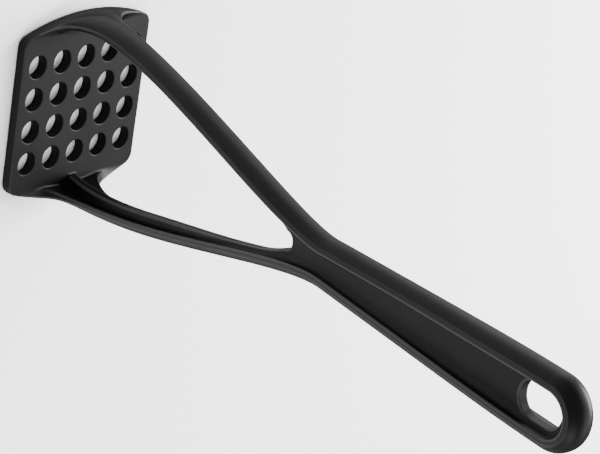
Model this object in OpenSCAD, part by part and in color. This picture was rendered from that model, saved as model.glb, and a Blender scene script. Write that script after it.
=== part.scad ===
// One-piece nylon potato masher: a perforated plate, two strap arms and an I-section handle.
// Origin: centre of the flat mashing face. +Z points from the plate to the handle.
// The two arms stand along X. The handle leans towards -Y.

/* [Mashing plate] */
// Distance from the plate's centre to the crown of each curved end
plate_reach = 38.2; // [36:0.2:46]
// Half of the plate's width between its straight sides
plate_half_width = 35.3; // [33:0.1:40]
// Radius of the two curved ends
plate_end_radius = 98; // [70:1:140]
// Radius of the four corners
corner_radius = 3.2; // [2:0.2:6]
// Thickness of the plate
plate_t = 4.7; // [3:0.1:7]

/* [Holes] */
// Diameter of each mashing hole at the plate's top
hole_d = 9.5; // [7:0.1:11]
// Diameter of each mashing hole at the mashing face
hole_exit_d = 9.3; // [6:0.1:9.5]
// Distance between neighbouring holes, both ways
hole_pitch = 13.5; // [12.5:0.1:14]
// Holes in each row from arm to arm
hole_rows = 4; // [2:1:4]
// Holes in each row across the arms
hole_columns = 5; // [3:1:5]

/* [Arms] */
// Half of the arm strap's width
arm_half_width = 6.1; // [5:0.1:8]
// How much wider each half of the foot is near the plate
foot_flare = 10.5; // [6:0.5:12]
// Height over which most of the flare fades
flare_height = 10; // [6:0.5:14]
// How much further each half of the foot spreads in its last millimetres
toe_flare = 13; // [0:0.5:13]
// Distance from the handle's centre line to the edge of the arm at its foot
foot_offset = 35.8; // [34:0.1:36]
// Thickness of the strap at its edges
strap_t = 1.9; // [1.4:0.1:3]
// How far the outside of the strap is crowned
crown_h = 3.6; // [1:0.1:5]
// Exponent of the crown's outline: 2 is a parabola, more is flatter on top
crown_power = 2.5; // [2:0.1:4]
// Height of the stiffening rib inside each arm, in its lower half
rib_h = 3.5; // [2:0.1:5]
// Height of the same rib in the arm's upper half
rib_low = 1.4; // [1:0.1:2]

/* [Handle] */
// Angle between the handle and the plate's normal, in degrees
lean = 11.8; // [0:0.1:20]
// Distance along the handle from the plate to the end of the neck
neck_s = 156.6; // [145:0.1:170]
// Half of the neck's width between its edges
neck_offset = 6.2; // [5:0.1:8]
// Half of the handle's width between its edges at the hanging loop
loop_offset = 10.2; // [9:0.1:12]
// Distance along the handle from the plate to the centre of the end loop
loop_s = 272.6; // [240:0.1:300]
// Half of the handle's thickness at its edges
handle_half_width = 5.4; // [4.5:0.1:7]
// How much the handle thickens, to each side, towards its end
end_flare = 0.8; // [0:0.1:1.2]
// Thickness of the web and of the ribs
web_t = 4.4; // [2:0.1:5]
// Radius of the notch where the arms part
notch_r = 3.4; // [2:0.1:4]
// Half of the hanging hole's width
eye_r = 6.9; // [4:0.1:7.5]
// Length of the straight middle of the hanging hole
eye_straight = 6; // [2:0.5:12]

/* [Hidden] */

nylon = [0.06, 0.06, 0.065];
arc_fn = 64;            // fineness of the plate's long arcs
crown_steps = 12;       // facets over one crown
inner_steps = 3;        // facets over each half of a strap's inner face
foot_steps = 8;         // sections along a foot
arm_steps = 16;         // sections along an arm
neck_steps = 5;         // sections along half of the neck
rail_steps = 12;        // sections along a handle rail
foot_end = 0.13;        // share of the arm's curve that belongs to the foot
arm_end = 0.8;          // share of the arm's curve at which the arms meet the web
tilt_run = 35;          // height over which the sections turn from the plate to the handle
toe_height = 2.2;       // height over which the toe's spread fades
foot_crown = plate_reach - foot_offset;
foot_lift = 2.2;        // how far the strap's edges come out at the plate
bend_height = 12;       // height over which the strap loses the bend of the plate's end
crown_height = 8;       // height over which the crown grows to its full size
lift_height = 4;        // height over which the strap's edges come back in
narrow_s = 110;         // where the straps start to narrow towards the handle
narrow_run = 50;        // and the length over which they do
end_flare_s = 190;      // where the handle starts to thicken towards its end
end_flare_run = 60;     // and the length over which it does
rib_s = 55;             // where the arm's rib starts to become lower
rib_run = 60;           // and the length over which it does
notch_run = 16;         // length over which the rib grows into the notch
web_half = web_t / 2;
eye_drop = 2.4;         // from the centre of the loop down to the hanging hole's upper arc
eye_top = loop_s - eye_drop;

// The arm's edge runs on a cubic Bezier curve and the handle's edge on a quadratic one.
// Each point is [distance from the centre line, distance along the centre line].
arm_curve = [[foot_offset, 0], [foot_offset + 5.5, 43.1], [neck_offset - 1.3, neck_s - 27],
             [neck_offset, neck_s]];
rail_curve = [[neck_offset, neck_s], [loop_offset, neck_s + 85], [loop_offset, loop_s]];

function arm_point(t) = pow(1 - t, 3) * arm_curve[0] + 3 * t * pow(1 - t, 2) * arm_curve[1]
    + 3 * t * t * (1 - t) * arm_curve[2] + pow(t, 3) * arm_curve[3];
function rail_point(t) = pow(1 - t, 2) * rail_curve[0] + 2 * t * (1 - t) * rail_curve[1]
    + t * t * rail_curve[2];

function ease(x) = let (k = min(1, max(0, x))) k * k * (3 - 2 * k);
// Half of the width of the strap's inner face at a distance along the centre line
function inner_half_width(s) = handle_half_width
    + (arm_half_width - handle_half_width) * (1 - ease((s - narrow_s) / narrow_run))
    + foot_flare * exp(-s / flare_height) + end_flare * ease((s - end_flare_s) / end_flare_run);
// The outer face also spreads into the two thin toes that run along the plate's end
function half_width(s) = inner_half_width(s) + toe_flare * exp(-s / toe_height);
// Height of the strap's crown, and of the edges that it springs from. At the foot both come out
// to the plate's curved end, so that the strap's outer face runs on into it.
function crown(s) = crown_h - (crown_h - foot_crown) * exp(-s / crown_height);
function edge_lift(s) = foot_lift * exp(-s / lift_height);
// How far the strap is bent back at a distance across, to follow the plate's curved end
function bend(v, s) = v * v / (2 * plate_end_radius) * exp(-s / bend_height);
// Height of the arm's inner rib, which grows into the notch
function rib_height(s) = rib_h - (rib_h - rib_low) * ease((s - rib_s) / rib_run)
    + (notch_join[0] - strap_t - notch_r - rib_low)
        * pow(max(0, s - notch_join[1] + notch_run) / notch_run, 2);
notch_join = arm_point(arm_end);

// A section point is [outwards from the edge, across]. It is placed in space on the section
// plane at s, which is parallel to the plate at the foot and square to the handle above it.
function place(p, edge, s, side) = let (tilt = lean * ease(s / tilt_run))
    [side * (edge + p[0]), p[1] * cos(tilt) - s * sin(lean),
     plate_t + p[1] * sin(tilt) + s * cos(lean)];

function bent(points, s) = [for (p = points) [p[0] - bend(p[1], s), p[1]]];
function strap_section(s) = let (
    outer = [for (i = [0 : crown_steps]) let (t = 2 * i / crown_steps - 1)
        [edge_lift(s) + (crown(s) - edge_lift(s)) * (1 - pow(abs(t), crown_power)),
         half_width(s) * t]],
    inner = [for (i = [inner_steps : -1 : 0])
        [-strap_t, web_half + (inner_half_width(s) - web_half) * i / inner_steps]],
    inner_back = [for (i = [inner_steps : -1 : 0]) [-strap_t, -inner[i][1]]])
    bent(concat(outer, inner, inner_back), s);
function rib_section(s) = bent([[-strap_t, web_half], [-strap_t - rib_height(s), web_half],
                                [-strap_t - rib_height(s), -web_half], [-strap_t, -web_half]], s);

// A closed solid through a row of rings with equal point counts
module skin(rings) {
    n = len(rings[0]);
    last = len(rings) - 1;
    polyhedron(
        points = [for (ring = rings) each ring],
        faces = concat(
            [[for (i = [0 : n - 1]) i]],
            [for (k = [0 : last - 1], i = [0 : n - 1]) let (j = (i + 1) % n)
                [k * n + i, (k + 1) * n + j, k * n + j]],
            [for (k = [0 : last - 1], i = [0 : n - 1]) let (j = (i + 1) % n)
                [k * n + i, (k + 1) * n + i, (k + 1) * n + j]],
            [[for (i = [n - 1 : -1 : 0]) last * n + i]]));
}

// Rings of a strap or a rib along a list of [edge, s] stations, on the +X side
function strap_rings(stations) = [for (q = stations)
    [for (p = strap_section(q[1])) place(p, q[0], q[1], 1)]];
function rib_rings(stations) = [for (q = stations)
    [for (p = rib_section(q[1])) place(p, q[0], q[1], 1)]];

foot_stations = [for (i = [0 : foot_steps]) arm_point(foot_end * pow(i / foot_steps, 1.6))];
arm_stations = [for (i = [0 : arm_steps])
    arm_point(foot_end + (arm_end - foot_end) * i / arm_steps)];
neck_stations = [for (i = [0 : neck_steps]) arm_point(arm_end + (1 - arm_end) * i / neck_steps)];
rail_stations = [for (i = [0 : rail_steps]) rail_point(i / rail_steps)];
// One row of stations from the foot to the notch, and one from the notch to the loop
function joined(a, b) = concat(a, [for (i = [1 : len(b) - 1]) b[i]]);

// Puts a drawing of [across the handle, along the handle] upright on the leaning centre plane
module on_centre_plane(thickness)
    translate([0, 0, plate_t]) rotate([lean + 90, 0, 0])
        linear_extrude(height = thickness, center = true) children();

// The area between the inner faces of the two straps along a row of stations
module between_straps(stations)
    polygon(concat([for (q = stations) [q[0] - strap_t, q[1]]],
                   [for (i = [len(stations) - 1 : -1 : 0])
                       [strap_t - stations[i][0], stations[i][1]]]));

module plate_outline() {
    end_centre = plate_reach - plate_end_radius;
    inner_half = plate_half_width - corner_radius;
    corner_x = end_centre + sqrt(pow(plate_end_radius - corner_radius, 2) - pow(inner_half, 2));
    intersection() {
        translate([end_centre, 0]) circle(r = plate_end_radius, $fn = 4 * arc_fn);
        translate([-end_centre, 0]) circle(r = plate_end_radius, $fn = 4 * arc_fn);
        union() {
            square([2 * corner_x, 2 * plate_half_width], center = true);
            square([2 * plate_reach, 2 * inner_half], center = true);
            for (sx = [-1, 1], sy = [-1, 1])
                translate([sx * corner_x, sy * inner_half]) circle(r = corner_radius, $fn = arc_fn);
        }
    }
}

// One hole through the plate, with its taper carried on above and below
module mashing_hole() {
    widening = hole_d - hole_exit_d;
    cylinder(d1 = hole_exit_d - widening, d2 = hole_d + widening, h = 3 * plate_t, $fn = arc_fn);
}

module mashing_plate() {
    color(nylon) difference() {
        linear_extrude(height = plate_t) plate_outline();
        for (i = [0 : hole_rows - 1], j = [0 : hole_columns - 1])
            translate([(i - (hole_rows - 1) / 2) * hole_pitch,
                       (j - (hole_columns - 1) / 2) * hole_pitch, -plate_t])
                mashing_hole();
    }
}

module right_foot() { color(nylon) skin(strap_rings(foot_stations)); }
module left_foot() { mirror([1, 0, 0]) right_foot(); }

module right_arm() { color(nylon) skin(strap_rings(arm_stations)); }
module left_arm() { mirror([1, 0, 0]) right_arm(); }

module right_arm_rib() {
    color(nylon) skin(rib_rings(joined(foot_stations, arm_stations)));
}
module left_arm_rib() { mirror([1, 0, 0]) right_arm_rib(); }

// Web between the arms, from the notch up to the end of the neck
module crotch_web() {
    color(nylon) on_centre_plane(web_t) difference() {
        between_straps(neck_stations);
        translate([0, notch_join[1]]) circle(r = notch_r, $fn = arc_fn);
    }
}

// Outline of the oval hanging hole, part of it in each of the two webs below
module eye() {
    translate([0, eye_top]) circle(r = eye_r, $fn = arc_fn);
    translate([0, eye_top - eye_straight]) circle(r = eye_r, $fn = arc_fn);
    translate([-eye_r, eye_top - eye_straight]) square([2 * eye_r, eye_straight]);
}

// Web of the I-section handle, from the end of the neck to the centre of the loop
module handle_web() {
    color(nylon) on_centre_plane(web_t) difference() {
        between_straps(rail_stations);
        eye();
    }
}

// Crescent of web between the hanging hole and the loop
module end_web() {
    loop_inner = loop_offset - strap_t;
    color(nylon) on_centre_plane(web_t) difference() {
        intersection() {
            translate([0, loop_s]) circle(r = loop_inner, $fn = arc_fn);
            translate([-loop_inner, loop_s]) square([2 * loop_inner, loop_inner]);
        }
        eye();
    }
}

module right_handle_rail() {
    color(nylon) skin(strap_rings(joined(neck_stations, rail_stations)));
}
module left_handle_rail() { mirror([1, 0, 0]) right_handle_rail(); }

// Half ring that joins the two rails round the end of the handle
module hanging_loop() {
    color(nylon) translate([0, 0, plate_t]) rotate([lean, 0, 0]) translate([0, 0, loop_s])
        rotate([90, 0, 0]) rotate_extrude(angle = 180, $fn = arc_fn)
            polygon([for (p = strap_section(loop_s)) [loop_offset + p[0], p[1]]]);
}

mashing_plate();
left_foot();
right_foot();
left_arm();
right_arm();
left_arm_rib();
right_arm_rib();
crotch_web();
handle_web();
left_handle_rail();
right_handle_rail();
end_web();
hanging_loop();
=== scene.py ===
"""Black nylon potato masher: the moulded skin, its material, and a plain studio.

The whole moulding is one signed-distance field in millimetres, with the fillets and rounded
edges that the CAD solids leave out. Each CAD node gets its own closed mesh of that field, cut
where the node meets its neighbours, so the surface runs on across the cuts.
"""

import math

import bpy
import numpy as np
from mathutils import Matrix, Vector


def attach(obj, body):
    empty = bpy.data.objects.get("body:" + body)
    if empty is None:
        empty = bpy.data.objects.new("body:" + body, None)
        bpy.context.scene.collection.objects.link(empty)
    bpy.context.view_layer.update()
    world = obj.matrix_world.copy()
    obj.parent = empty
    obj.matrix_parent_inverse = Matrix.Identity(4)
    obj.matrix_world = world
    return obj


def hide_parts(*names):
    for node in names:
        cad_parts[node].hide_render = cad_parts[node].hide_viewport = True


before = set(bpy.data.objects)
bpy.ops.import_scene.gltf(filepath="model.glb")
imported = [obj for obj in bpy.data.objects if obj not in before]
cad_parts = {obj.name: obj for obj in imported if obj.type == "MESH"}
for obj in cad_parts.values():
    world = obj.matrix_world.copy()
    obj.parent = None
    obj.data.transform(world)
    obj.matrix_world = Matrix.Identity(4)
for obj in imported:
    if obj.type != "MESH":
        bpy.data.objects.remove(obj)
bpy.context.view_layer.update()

MM = 0.001  # the field is in millimetres and the scene in metres

# ---- Dimensions of the moulding, as in the CAD source, in millimetres ----
PLATE_REACH, PLATE_HALF_WIDTH, PLATE_END_RADIUS = 38.2, 35.3, 98.0
CORNER_RADIUS, PLATE_T = 3.2, 4.7
HOLE_R, HOLE_EXIT_R, HOLE_PITCH, HOLE_ROWS, HOLE_COLUMNS = 4.75, 4.65, 13.5, 4, 5
ARM_HALF_WIDTH, FOOT_OFFSET, FOOT_LIFT, BEND_HEIGHT = 6.1, 35.8, 2.2, 12.0
FOOT_FLARE, FLARE_HEIGHT, TOE_FLARE, TOE_HEIGHT = 10.5, 10.0, 13.0, 2.2
STRAP_T, CROWN_H, CROWN_POWER, RIB_H, RIB_LOW = 1.9, 3.6, 2.5, 3.5, 1.4
CROWN_HEIGHT, LIFT_HEIGHT = 8.0, 4.0  # over which the crown grows in and the lifted edges fade
NARROW_S, NARROW_RUN = 110.0, 50.0  # where the straps narrow towards the handle
END_FLARE, END_FLARE_S, END_FLARE_RUN = 0.8, 190.0, 60.0  # of each side, towards the handle's end
RIB_S, RIB_RUN, NOTCH_RUN = 55.0, 60.0, 16.0  # where the rib becomes lower, and grows into the notch
LEAN = math.radians(11.8)
NECK_S, NECK_OFFSET, LOOP_OFFSET, LOOP_S = 156.6, 6.2, 10.2, 272.6
HANDLE_HALF_WIDTH, WEB_HALF, NOTCH_R = 5.4, 2.2, 3.4
EYE_R, EYE_STRAIGHT, EYE_DROP = 6.9, 6.0, 2.4
FOOT_END, ARM_END, TILT_RUN = 0.13, 0.8, 35.0
FOOT_CROWN = PLATE_REACH - FOOT_OFFSET
EYE_TOP = LOOP_S - EYE_DROP
EYE_MIDDLE = EYE_TOP - EYE_STRAIGHT / 2

# ---- Radii that only the skin has ----
RIM_R = 0.7  # inner edges of the straps
CROWN_EDGE_R = 0.45  # between the crowned outer face and the strap's sides
RIB_EDGE_R = 0.8
EYE_EDGE_R = 0.7
HOLE_EDGE_R = 0.28
PLATE_TOP_R, PLATE_BOTTOM_R = 0.45, 1.2
ARM_FILLET, HANDLE_FILLET = 1.5, 2.7  # between the rib or web and the straps
PLATE_FILLET, OUTER_BLEND = 0.8, 0.5  # between the straps and the plate, inside and outside
FILLET_S, FILLET_RUN = 115.0, 40.0  # where the arm's fillet grows to the handle's
CORE_COVER = 0.9  # how far inside the strap's outer edge line the rib and the web stop
SINK = 2.0  # how far the straps run down into the plate
PLATE_WEAR_AND_HIGHLIGHT = 0.35  # hands don't reach the mouths of the holes, so they are less rubbed, and their painted edge highlight is weaker too


def bezier(points, t):
    """Points of a Bezier curve of any order, by de Casteljau's rule."""
    rows = [np.outer(np.ones_like(t), p) for p in points]
    while len(rows) > 1:
        rows = [a + (b - a) * t[:, None] for a, b in zip(rows, rows[1:])]
    return rows[0]


# Control points of the strap's edge: distance from the centre line, and along it
ARM_CURVE = [
    (FOOT_OFFSET, 0),
    (FOOT_OFFSET + 5.5, 43.1),
    (NECK_OFFSET - 1.3, NECK_S - 27),
    (NECK_OFFSET, NECK_S),
]
RAIL_CURVE = [(NECK_OFFSET, NECK_S), (LOOP_OFFSET, NECK_S + 85), (LOOP_OFFSET, LOOP_S)]
FINE = np.linspace(0, 1, 801)
EDGE_LINE = np.vstack([bezier(ARM_CURVE, FINE), bezier(RAIL_CURVE, FINE[1:])])
FOOT_S = bezier(ARM_CURVE, np.array([FOOT_END]))[0, 1]
NOTCH_EDGE, NOTCH_S = bezier(ARM_CURVE, np.array([ARM_END]))[0]


def edge_at(s):
    """Distance from the centre line to the strap's edge, at a distance along the centre line."""
    return np.interp(s, EDGE_LINE[:, 1], EDGE_LINE[:, 0])


def ease(x):
    k = np.clip(x, 0, 1)
    return k * k * (3 - 2 * k)


def inner_half_width(s):
    taper = (ARM_HALF_WIDTH - HANDLE_HALF_WIDTH) * (1 - ease((s - NARROW_S) / NARROW_RUN))
    foot = FOOT_FLARE * np.exp(-s / FLARE_HEIGHT)
    end = END_FLARE * ease((s - END_FLARE_S) / END_FLARE_RUN)
    return HANDLE_HALF_WIDTH + taper + (foot + end)


def toe(s):
    """How much further the strap's outer face spreads than its inner face."""
    return TOE_FLARE * np.exp(-s / TOE_HEIGHT)


def crown(s):
    return CROWN_H - (CROWN_H - FOOT_CROWN) * np.exp(-s / CROWN_HEIGHT)


def edge_lift(s):
    return FOOT_LIFT * np.exp(-s / LIFT_HEIGHT)


def bend(v, s):
    """How far a foot is bent back at a distance across, to follow the plate's curved end."""
    return v**2 / (2 * PLATE_END_RADIUS) * np.exp(-np.maximum(s, 0) / BEND_HEIGHT)


def rib_height(s):
    into_notch = NOTCH_EDGE - STRAP_T - NOTCH_R - RIB_LOW
    lower = (RIB_H - RIB_LOW) * ease((s - RIB_S) / RIB_RUN)
    near_notch = np.maximum(0, s - NOTCH_S + NOTCH_RUN) / NOTCH_RUN
    return RIB_H - lower + into_notch * near_notch**2


# ---- Joining fields. Each is negative inside the material. ----
def round_meet(a, b, r):
    """The material in both a and b, with the edge between them rounded."""
    return np.minimum(-r, np.maximum(a, b)) + np.hypot(np.maximum(r + a, 0), np.maximum(r + b, 0))


def round_join(a, b, r):
    """The material in a or b, with a fillet between them."""
    return np.maximum(r, np.minimum(a, b)) - np.hypot(np.maximum(r - a, 0), np.maximum(r - b, 0))


def handle_place(y, z):
    """A point's distance across the handle and along it, undoing the lean of its section."""
    up = z - PLATE_T
    s = up * math.cos(LEAN) - y * math.sin(LEAN)
    for _ in range(4):  # the tilt depends on the place, and settles in a few rounds
        tilt = LEAN * ease(s / TILT_RUN)
        det = np.cos(LEAN - tilt)
        v = (y * math.cos(LEAN) + up * math.sin(LEAN)) / det
        s = (np.cos(tilt) * up - np.sin(tilt) * y) / det
    return v, s


def handle_field(x, y, z):
    """The straps, loop, ribs and web without the plate, and the distance out from the edge."""
    u = np.abs(x)
    v, s = handle_place(y, z)
    v = np.abs(v)
    along = np.clip(s, 0, LOOP_S)
    n = np.where(s > LOOP_S, np.hypot(u, s - LOOP_S), u) - edge_at(along) + bend(v, along)

    lift = edge_lift(along)
    top = crown(along) - lift
    depth = FOOT_LIFT + STRAP_T  # of the toe, from its outer face to nothing
    share = np.clip((n + STRAP_T) / depth, 0, 1)
    half = inner_half_width(along) + share * toe(along)
    spread = FOOT_FLARE / FLARE_HEIGHT * np.exp(-along / FLARE_HEIGHT)
    spread = np.hypot(spread + share * toe(along) / TOE_HEIGHT, toe(along) / depth)
    off = v / half
    outer = n - lift - top * (1 - off**CROWN_POWER)
    outer /= np.hypot(1, CROWN_POWER * top * off ** (CROWN_POWER - 1) / half)
    strap = round_meet(outer, (v - half) / np.hypot(1, spread), CROWN_EDGE_R)
    strap = round_meet(strap, -(n + STRAP_T), RIM_R)

    inner = edge_at(along) - STRAP_T - rib_height(along)
    gap = np.where(s < NOTCH_S, inner - u, NOTCH_R - np.hypot(u, s - NOTCH_S))
    core = round_meet(v - WEB_HALF, gap, RIB_EDGE_R)
    eye = EYE_R - np.hypot(u, np.maximum(np.abs(s - EYE_MIDDLE) - EYE_STRAIGHT / 2, 0))
    core = round_meet(core, eye, EYE_EDGE_R)
    core = np.maximum(core, n + CORE_COVER)

    fillet = ARM_FILLET + (HANDLE_FILLET - ARM_FILLET) * ease((s - FILLET_S) / FILLET_RUN)
    return np.maximum(round_join(strap, core, fillet), PLATE_T - SINK - z), n


def plate_field(x, y, z):
    """The perforated plate."""
    ends = np.hypot(np.abs(x) + PLATE_END_RADIUS - PLATE_REACH, y) - PLATE_END_RADIUS
    outline = round_meet(ends, np.abs(y) - PLATE_HALF_WIDTH, CORNER_RADIUS)
    slab = round_meet(outline, z - PLATE_T, PLATE_TOP_R)
    slab = round_meet(slab, -z, PLATE_BOTTOM_R)

    def to_hole(p, count):
        shift = (count - 1) / 2
        near = np.clip(np.round(p / HOLE_PITCH + shift), 0, count - 1) - shift
        return p - near * HOLE_PITCH

    hole_r = HOLE_EXIT_R + (HOLE_R - HOLE_EXIT_R) * z / PLATE_T
    hole = hole_r - np.hypot(to_hole(x, HOLE_ROWS), to_hole(y, HOLE_COLUMNS))
    return round_meet(slab, hole, HOLE_EDGE_R)


def masher(x, y, z):
    """The whole moulding."""
    handle, n = handle_field(x, y, z)
    blend = PLATE_FILLET + (OUTER_BLEND - PLATE_FILLET) * ease(n + 1)  # over the strap's thickness
    return round_join(plate_field(x, y, z), handle, blend)


# ---- Ways to lay a grid through a node: each turns three grid values into a place ----
SEAM = 0.15  # the skins meet this far beyond a face, where the fillet has begun
INNER = -STRAP_T - SEAM  # n at which the straps' skins meet those of the ribs and webs
STEP, PLATE_STEP = 0.42, 0.37  # spacing of the mesh


def lean_out(v, s):
    tilt = LEAN * ease(s / TILT_RUN)
    y = v * np.cos(tilt) - s * math.sin(LEAN)
    return y, PLATE_T + v * np.sin(tilt) + s * math.cos(LEAN)


def strap_place(side):
    """n out from the edge line, v across, s along."""
    return lambda n, v, s: (side * (edge_at(s) + n - bend(v, s)), *lean_out(v, s))


def web_place(w, v, s):
    """w from -1 to 1 between the straps."""
    return w * (edge_at(s) - STRAP_T - SEAM), *lean_out(v, s)


def loop_place(n, v, turn):
    """n out from the loop's edge line, v across, turn round the end of the handle."""
    r = LOOP_OFFSET + n
    return r * np.cos(turn), *lean_out(v, LOOP_S + r * np.sin(turn))


def plate_place(x, y, z):
    return x, y, z


def spaced(start, stop, step=STEP):
    """Evenly spaced values that end exactly on stop."""
    return np.linspace(start, stop, max(2, round(abs(stop - start) / step) + 1))


def chain(*stretches):
    """Several spaced stretches end to end, sharing their ends."""
    return np.concatenate([stretches[0]] + [s[1:] for s in stretches[1:]])


def across(steps):
    """Values of v, so many steps to each side of the middle."""
    return STEP * np.arange(-steps, steps + 1)


# ---- Meshing a node ----
def skin(place, grids, cut):
    """A closed mesh of the masher's field inside a grid, by surface nets.

    cut is a string of six 0 or 1 marks, low and high side of each grid axis: 1 where the node
    is cut off at the grid's end, and 0 where its material ends before that. At a cut, the
    corners lie exactly on the cut face and, round its edge, on the masher's surface too.
    """
    cuts = [mark == "1" for mark in cut]
    axes = []
    for k, g in enumerate(grids):
        low = [g[0]] if cuts[2 * k] else []
        high = [g[-1]] if cuts[2 * k + 1] else []
        axes.append(np.concatenate([low, g, high]))
    values = np.full([len(a) for a in axes], 1.0)
    real = tuple(
        slice(int(cuts[2 * k]), len(a) - int(cuts[2 * k + 1])) for k, a in enumerate(axes)
    )
    values[real] = masher(*place(*np.meshgrid(*grids, indexing="ij")))

    inside = values < 0
    cells = tuple(n - 1 for n in values.shape)
    count = np.zeros(cells, int)
    for corner in np.ndindex(2, 2, 2):
        count += inside[tuple(slice(c, c + n) for c, n in zip(corner, cells))]
    live = (count > 0) & (count < 8)
    index = np.full(cells, -1)
    index[live] = np.arange(live.sum())
    cell = np.argwhere(live)

    # each corner starts at the middle of the places where the surface crosses its cell's edges
    total, hits = np.zeros((len(cell), 3)), np.zeros(len(cell))
    for axis in range(3):
        others = [k for k in range(3) if k != axis]
        for a in (0, 1):
            for b in (0, 1):
                start = cell.copy()
                start[:, others[0]] += a
                start[:, others[1]] += b
                end = start.copy()
                end[:, axis] += 1
                f0, f1 = values[tuple(start.T)], values[tuple(end.T)]
                crosses = (f0 < 0) != (f1 < 0)
                share = np.where(crosses, f0 / np.where(crosses, f0 - f1, 1), 0)
                point = start.astype(float)
                point[:, axis] += share
                total += point * crosses[:, None]
                hits += crosses
    at = total / hits[:, None]
    at = np.stack([np.interp(at[:, k], np.arange(len(a)), a) for k, a in enumerate(axes)], 1)

    # which grid values of a corner are held, because it is in the layer beyond a cut
    held = np.zeros((len(cell), 3), bool)
    for k in range(3):
        if cuts[2 * k]:
            held[:, k] |= cell[:, k] == 0
        if cuts[2 * k + 1]:
            held[:, k] |= cell[:, k] == cells[k] - 1
    # corners well inside a cut face stay, and the others go onto the surface
    all_in = np.ones(len(cell), bool)
    for corner in np.ndindex(2, 2, 2):
        where = cell + corner
        beyond = np.zeros(len(cell), bool)
        for k in range(3):
            if cuts[2 * k]:
                beyond |= where[:, k] == 0
            if cuts[2 * k + 1]:
                beyond |= where[:, k] == len(axes[k]) - 1
        all_in &= beyond | inside[tuple(where.T)]
    pull(place, at, held, ~all_in, [np.median(np.diff(g)) for g in grids])

    # a face across each grid edge that the surface crosses, and whether it lies in a cut
    quads, caps = [], []
    for axis in range(3):
        o1, o2 = [(1, 2), (2, 0), (0, 1)][axis]
        low = [slice(1, n - 1) for n in values.shape]
        high = low.copy()
        low[axis] = slice(0, values.shape[axis] - 1)
        high[axis] = slice(1, values.shape[axis])
        first, second = inside[tuple(low)], inside[tuple(high)]
        edge = np.argwhere(first != second)
        outward = first[tuple(edge.T)]
        base = edge.copy()
        for k in (o1, o2):
            base[:, k] += 1
        ring = []
        for d1, d2 in ((-1, -1), (0, -1), (0, 0), (-1, 0)):
            c = base.copy()
            c[:, o1] += d1
            c[:, o2] += d2
            ring.append(index[tuple(c.T)])
        quad = np.stack(ring, 1)
        quad[~outward] = quad[~outward][:, ::-1]
        quads.append(quad)
        caps.append(held[quad][:, :, axis].all(1))
    return at, np.concatenate(quads), np.concatenate(caps)


def pull(place, at, held, loose, steps):
    """Moves the loose corners onto the surface, along the grid values that aren't held."""
    steps = np.abs(np.array(steps))
    tiny = steps * 0.02
    for _ in range(4):
        p = at[loose]
        value = masher(*place(*p.T))
        slope = np.zeros_like(p)
        for k in range(3):
            shift = np.zeros(3)
            shift[k] = tiny[k]
            ahead, behind = masher(*place(*(p + shift).T)), masher(*place(*(p - shift).T))
            slope[:, k] = (ahead - behind) / (2 * tiny[k])
        slope *= steps * ~held[loose]
        move = -(value / np.maximum((slope**2).sum(1), 1e-4))[:, None] * slope
        at[loose] = p + np.clip(move, -0.5, 0.5) * steps


def surface_slope(x, y, z, reach=0.02):
    """Outward normals of the field, by differences."""
    g = np.stack(
        [
            masher(x + reach, y, z) - masher(x - reach, y, z),
            masher(x, y + reach, z) - masher(x, y - reach, z),
            masher(x, y, z + reach) - masher(x, y, z - reach),
        ],
        1,
    )
    return g / np.maximum(np.linalg.norm(g, axis=1), 1e-9)[:, None]


def edge_wear_and_highlight(points, normals, reach=0.6):
    """How sharply the surface turns at each point: about 1 on an outer edge, 0 where it's flat."""
    a = np.cross(normals, (0.3, 0.5, 0.8))  # any direction along the surface
    a /= np.maximum(np.linalg.norm(a, axis=1), 1e-9)[:, None]
    b = np.cross(normals, a)
    rise = sum(masher(*(points + d).T) for d in (reach * a, -reach * a, reach * b, -reach * b))
    return np.clip(rise / reach, 0, 1)


def piece(name, node, place, grids, cut):
    """The mesh object that stands for one CAD node."""
    at, quads, caps = skin(place, grids, cut)
    points = np.stack(place(*at.T), 1)
    corner = points[quads]
    face_normal = np.cross(corner[:, 2] - corner[:, 0], corner[:, 3] - corner[:, 1])
    normals = surface_slope(*points.T)
    turned = (face_normal * normals[quads].sum(1)).sum(1)[~caps].sum() < 0
    if turned:
        quads, face_normal = quads[:, ::-1], -face_normal
    face_normal /= np.maximum(np.linalg.norm(face_normal, axis=1), 1e-12)[:, None]

    mesh = bpy.data.meshes.new(name)
    mesh.vertices.add(len(points))
    mesh.vertices.foreach_set("co", (points * MM).astype(np.float32).ravel())
    mesh.loops.add(quads.size)
    mesh.loops.foreach_set("vertex_index", quads.astype(np.int32).ravel())
    mesh.polygons.add(len(quads))
    mesh.polygons.foreach_set("loop_start", np.arange(0, quads.size, 4, dtype=np.int32))
    mesh.update(calc_edges=True)
    # how sharply each edge turns: it makes the edge rubbed lighter and also paints a highlight along
    # the rims
    wear_and_highlight = mesh.attributes.new("edge_wear_and_highlight", "FLOAT", "POINT")
    rubbing_and_highlight = PLATE_WEAR_AND_HIGHLIGHT if node == "mashing_plate" else 1
    wear_and_highlight.data.foreach_set("value", (rubbing_and_highlight * edge_wear_and_highlight(points, normals)).astype(np.float32))
    corner_normals = np.where(caps[:, None, None], face_normal[:, None, :], normals[quads])
    mesh.polygons.foreach_set("use_smooth", np.ones(len(quads), bool))
    mesh.normals_split_custom_set(corner_normals.reshape(-1, 3).tolist())
    mesh.validate()

    obj = bpy.data.objects.new(name, mesh)
    bpy.context.scene.collection.objects.link(obj)
    mesh.materials.append(nylon)
    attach(obj, "root")
    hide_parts(node)


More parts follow.
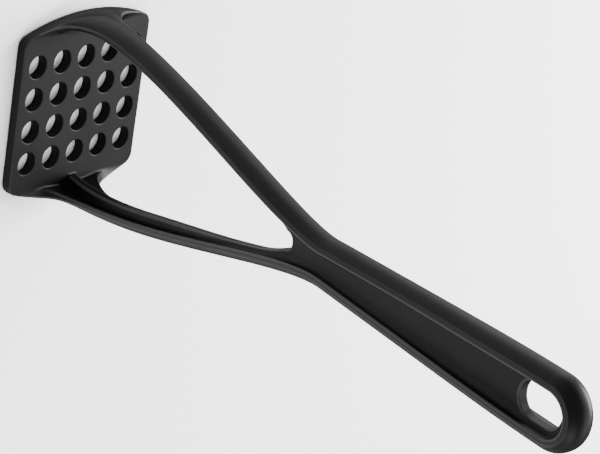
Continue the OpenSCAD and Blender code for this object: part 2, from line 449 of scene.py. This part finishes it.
# ---- Material ----
def black_nylon():
    """Satin black nylon: a fine moulded grain, faint uneven gloss, and rubbed edges painted lighter,
    which also stand for a painted highlight along the rims.
    """
    mat = bpy.data.materials.new("black_nylon")
    mat.use_nodes = True
    nodes, links = mat.node_tree.nodes, mat.node_tree.links
    shader = nodes["Principled BSDF"]
    # far below nylon's own 1.53, which turns the black grey between white surroundings
    shader.inputs["IOR"].default_value = 1.16
    place = nodes.new("ShaderNodeTexCoord").outputs["Object"]

    def noise(scale, detail, roughness=0.5):
        n = nodes.new("ShaderNodeTexNoise")
        n.inputs["Scale"].default_value = scale
        n.inputs["Detail"].default_value = detail
        n.inputs["Roughness"].default_value = roughness
        links.new(place, n.inputs["Vector"])
        return n.outputs["Fac"]

    def ramp(value, low, high, out_low, out_high):
        m = nodes.new("ShaderNodeMapRange")
        for name, number in (
            ("From Min", low),
            ("From Max", high),
            ("To Min", out_low),
            ("To Max", out_high),
        ):
            m.inputs[name].default_value = number
        links.new(value, m.inputs["Value"])
        return m.outputs["Result"]

    def maths(kind, a, b):
        m = nodes.new("ShaderNodeMath")
        m.operation = kind
        for socket, value in zip(m.inputs, (a, b)):
            if isinstance(value, (int, float)):
                socket.default_value = value
            else:
                links.new(value, socket)
        return m.outputs["Value"]

    wear_and_highlight = nodes.new("ShaderNodeAttribute")
    wear_and_highlight.attribute_name = "edge_wear_and_highlight"
    worn_and_highlit = ramp(wear_and_highlight.outputs["Fac"], 0.16, 0.5, 0.0, 1.0)

    cloud = ramp(noise(60, 4), 0.35, 0.65, 0.0, 1.0)
    tint = nodes.new("ShaderNodeMix")
    tint.data_type = "RGBA"
    tint.inputs["A"].default_value = (0.0022, 0.0022, 0.0023, 1)
    tint.inputs["B"].default_value = (0.0032, 0.0031, 0.0031, 1)
    links.new(cloud, tint.inputs["Factor"])
    # painted highlight: sharp outer edges get a lighter base colour, partly real rubbing and partly
    # standing in for the bright highlight lines along the rims
    rubbed_and_highlit = nodes.new("ShaderNodeMix")
    rubbed_and_highlit.data_type = "RGBA"
    rubbed_and_highlit.inputs["B"].default_value = (0.03, 0.03, 0.03, 1)
    links.new(worn_and_highlit, rubbed_and_highlit.inputs["Factor"])
    links.new(tint.outputs["Result"], rubbed_and_highlit.inputs["A"])
    links.new(rubbed_and_highlit.outputs["Result"], shader.inputs["Base Color"])

    clouded = ramp(noise(35, 3), 0.3, 0.7, 0.42, 0.48)
    rough = maths("ADD", clouded, ramp(noise(900, 2), 0.3, 0.7, -0.02, 0.02))
    links.new(maths("SUBTRACT", rough, maths("MULTIPLY", worn_and_highlit, 0.05)), shader.inputs["Roughness"])

    # less reflection at low angles, so that the outlines stay dark between white surroundings
    weight = nodes.new("ShaderNodeLayerWeight")
    weight.inputs["Blend"].default_value = 0.5
    shine = ramp(weight.outputs["Facing"], 0.4, 0.75, 0.5, 0.03)
    links.new(shine, shader.inputs["Specular IOR Level"])

    grain = nodes.new("ShaderNodeBump")
    grain.inputs["Strength"].default_value = 0.04
    grain.inputs["Distance"].default_value = 0.00004
    links.new(noise(2600, 3, 0.6), grain.inputs["Height"])
    swell = nodes.new("ShaderNodeBump")
    swell.inputs["Strength"].default_value = 0.12
    swell.inputs["Distance"].default_value = 0.00015
    links.new(noise(110, 2), swell.inputs["Height"])
    links.new(grain.outputs["Normal"], swell.inputs["Normal"])
    links.new(swell.outputs["Normal"], shader.inputs["Normal"])
    return mat


nylon = black_nylon()

# ---- The pieces ----
# Grid values: v wide enough for each member, n from the seam to beyond the crown, and s
ACROSS, ARM_ACROSS, FOOT_ACROSS = across(18), across(25), across(79)
OUT = INNER + STEP * np.arange(0, 16)
WIDTHS = np.linspace(-1, 1, 41)  # w between the straps
TOE_S = 3.0  # up to which the foot spreads fast and needs a finer mesh
RIB_DEPTH = 8.2  # of the rib's grid, from the seam inwards
foot_run = chain(spaced(SEAM, TOE_S, 0.2), spaced(TOE_S, FOOT_S, 0.4))
arm_run = spaced(FOOT_S, NOTCH_S, 0.8)
neck_run = spaced(NOTCH_S, NECK_S, 0.6)
rail_run = spaced(NECK_S, LOOP_S, 0.8)
turns = np.linspace(0, math.pi, 73)  # round the end of the handle
rib_inward = spaced(INNER - RIB_DEPTH, INNER)
end_inward = spaced(1.0 - LOOP_OFFSET, INNER)

piece(
    "mashing_plate_skin",
    "mashing_plate",
    plate_place,
    (
        spaced(-PLATE_REACH - 1, PLATE_REACH + 1, PLATE_STEP),
        spaced(-PLATE_HALF_WIDTH - 1, PLATE_HALF_WIDTH + 1, PLATE_STEP),
        spaced(-1, PLATE_T + SEAM * math.cos(LEAN), PLATE_STEP),
    ),
    "000001",
)
for word, side in (("left", -1), ("right", 1)):
    place = strap_place(side)
    piece(f"{word}_foot_skin", f"{word}_foot", place, (OUT, FOOT_ACROSS, foot_run), "100011")
    piece(f"{word}_arm_skin", f"{word}_arm", place, (OUT, ARM_ACROSS, arm_run), "100011")
    piece(
        f"{word}_arm_rib_skin",
        f"{word}_arm_rib",
        place,
        (rib_inward, FOOT_ACROSS, chain(foot_run, arm_run)),
        "010011",
    )
    piece(
        f"{word}_handle_rail_skin",
        f"{word}_handle_rail",
        place,
        (OUT, ACROSS, chain(neck_run, rail_run)),
        "100011",
    )
piece("crotch_web_skin", "crotch_web", web_place, (WIDTHS, ACROSS, neck_run), "110011")
piece("handle_web_skin", "handle_web", web_place, (WIDTHS, ACROSS, rail_run), "110011")
piece("end_web_skin", "end_web", loop_place, (end_inward, ACROSS, turns), "010011")
piece("hanging_loop_skin", "hanging_loop", loop_place, (OUT, ACROSS, turns), "100011")


# ---- Studio ----
def studio_floor():
    """A plain pale floor under the mashing face."""
    half = 3.0
    corners = [(-half, -half, 0), (half, -half, 0), (half, half, 0), (-half, half, 0)]
    mesh = bpy.data.meshes.new("floor")
    mesh.from_pydata(corners, [], [(0, 1, 2, 3)])
    floor = bpy.data.objects.new("floor", mesh)
    floor.location.z = -0.0002  # just clear of the mashing face
    bpy.context.scene.collection.objects.link(floor)
    mat = bpy.data.materials.new("pale_floor")
    mat.use_nodes = True
    shader = mat.node_tree.nodes["Principled BSDF"]
    shader.inputs["Base Color"].default_value = (0.9, 0.9, 0.9, 1)
    shader.inputs["Roughness"].default_value = 0.9
    mesh.materials.append(mat)


def softbox(name, place, aim, width, height, power):
    """A large soft area light that faces a point."""
    data = bpy.data.lights.new(name, "AREA")
    data.shape = "RECTANGLE"
    data.size, data.size_y = width, height
    data.energy = power
    light = bpy.data.objects.new(name, data)
    light.location = place
    light.rotation_euler = (Vector(aim) - Vector(place)).to_track_quat("-Z", "Y").to_euler()
    bpy.context.scene.collection.objects.link(light)


studio_floor()
middle = (0, -0.03, 0.14)
handle_end = (0, -0.05, 0.26)
softbox("key", (0.35, 0.42, 1.05), middle, 0.7, 0.7, 7)
softbox("side", (0.55, -0.5, 0.7), middle, 0.4, 0.4, 8)
softbox("back", (-0.2, 1.1, 0.6), handle_end, 0.8, 0.6, 60)
softbox("over", (0.12, 0.85, 1.0), handle_end, 0.45, 0.45, 4)

world = bpy.data.worlds.new("studio")
bpy.context.scene.world = world
world.use_nodes = True
background = world.node_tree.nodes["Background"]
background.inputs["Color"].default_value = (1, 1, 1, 1)
background.inputs["Strength"].default_value = 1.15


def add_camera():
    """A long lens, above and to the left of the plate, rolled so that the handle lies down right."""
    aim, distance = Vector((-0.00404, -0.02347, 0.13652)), 0.9
    azimuth, elevation, roll = math.radians(27.65), math.radians(32.26), math.radians(115.17)
    data = bpy.data.cameras.new("camera")
    data.sensor_width = 36
    data.lens = 150
    data.clip_end = 20
    camera = bpy.data.objects.new("camera", data)
    turn = (
        Matrix.Rotation(-azimuth, 4, "Z")
        @ Matrix.Rotation(math.pi / 2 - elevation, 4, "X")
        @ Matrix.Rotation(roll, 4, "Z")
    )
    camera.matrix_world = Matrix.Translation(aim) @ turn @ Matrix.Translation((0, 0, distance))
    bpy.context.scene.collection.objects.link(camera)
    bpy.context.scene.camera = camera


add_camera()
